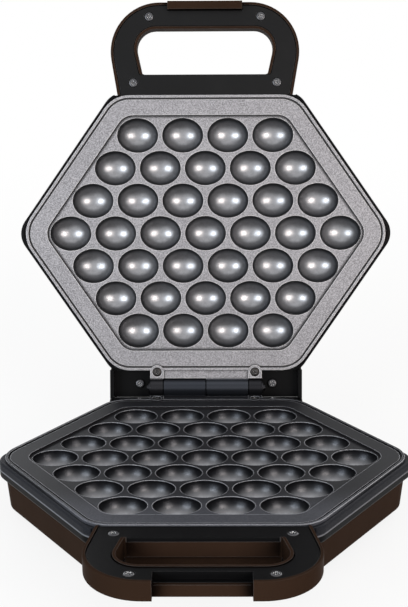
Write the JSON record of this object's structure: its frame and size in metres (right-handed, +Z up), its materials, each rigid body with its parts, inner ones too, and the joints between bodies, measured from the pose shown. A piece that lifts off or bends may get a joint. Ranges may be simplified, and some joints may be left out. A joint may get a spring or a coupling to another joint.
{
  "type": "bubble waffle maker",
  "caption": "Open hinged countertop waffle iron with facing hexagonal plates of oval bubble cups, a looped handle on each half and a notch and tab that meet when it shuts.",
  "frame": {"origin": "on the table, under the middle of the open appliance", "axes": "+X along the hinge, to the right of a user at the handles; the handles point to -Y; +Z is up"},
  "size_m": [0.2356, 0.319, 0.276],
  "materials": {
    "shell": "satin brown-black moulding",
    "black_trim": "glossy black moulding",
    "plate": "cast, with a dark grey non-stick coating",
    "heater_sheath": "satin sheath",
    "sheet_steel": "plain sheet",
    "screw_steel": "zinc plated",
    "pin_steel": "turned",
    "fuse": "plain",
    "thermostat": "plain",
    "terminal": "matte",
    "rubber": "matte",
    "red_lens": "clear, tinted",
    "green_lens": "clear, tinted",
    "lamp_glass": "clear"
  },
  "bodies": {
    "base": {"base_housing": "shell", "base_trim_ring": "black_trim", "base_handle_cover": "black_trim", "base_handle_screws": "screw_steel", "lower_plate": "plate", "lower_plate_screws": "screw_steel", "lower_heating_element": "heater_sheath", "lower_heat_reflector": "sheet_steel", "lower_reflector_screws": "screw_steel", "thermal_fuse": "fuse", "fuse_clamp": "sheet_steel", "fuse_clamp_screws": "screw_steel", "terminal_block": "terminal", "terminal_block_screws": "screw_steel", "cord_gland": "rubber", "base_feet": "rubber", "base_foot_screws": "screw_steel", "base_hinge_cover": "black_trim", "base_hinge_cover_screws": "screw_steel", "hinge_pin": "pin_steel", "hinge_pin_clips": "pin_steel"},
    "lid": {"lid_housing": "shell", "lid_trim_ring": "black_trim", "lid_handle_cover": "black_trim", "lid_handle_screws": "screw_steel", "upper_plate": "plate", "upper_plate_screws": "screw_steel", "upper_heating_element": "heater_sheath", "upper_heat_reflector": "sheet_steel", "upper_reflector_screws": "screw_steel", "thermostat": "thermostat", "thermostat_screws": "screw_steel", "lid_hinge_cover": "black_trim", "lid_hinge_cover_screws": "screw_steel", "power_lens": "red_lens", "ready_lens": "green_lens", "power_lamp": "lamp_glass", "ready_lamp": "lamp_glass"}
  },
  "joints": [
    {"name": "lid_hinge", "type": "hinge", "parent": "base", "child": "lid", "pos_m": [0, 0.08405, 0.038], "axis": [1, 0, 0], "range_deg": [0, 105]}
  ]
}
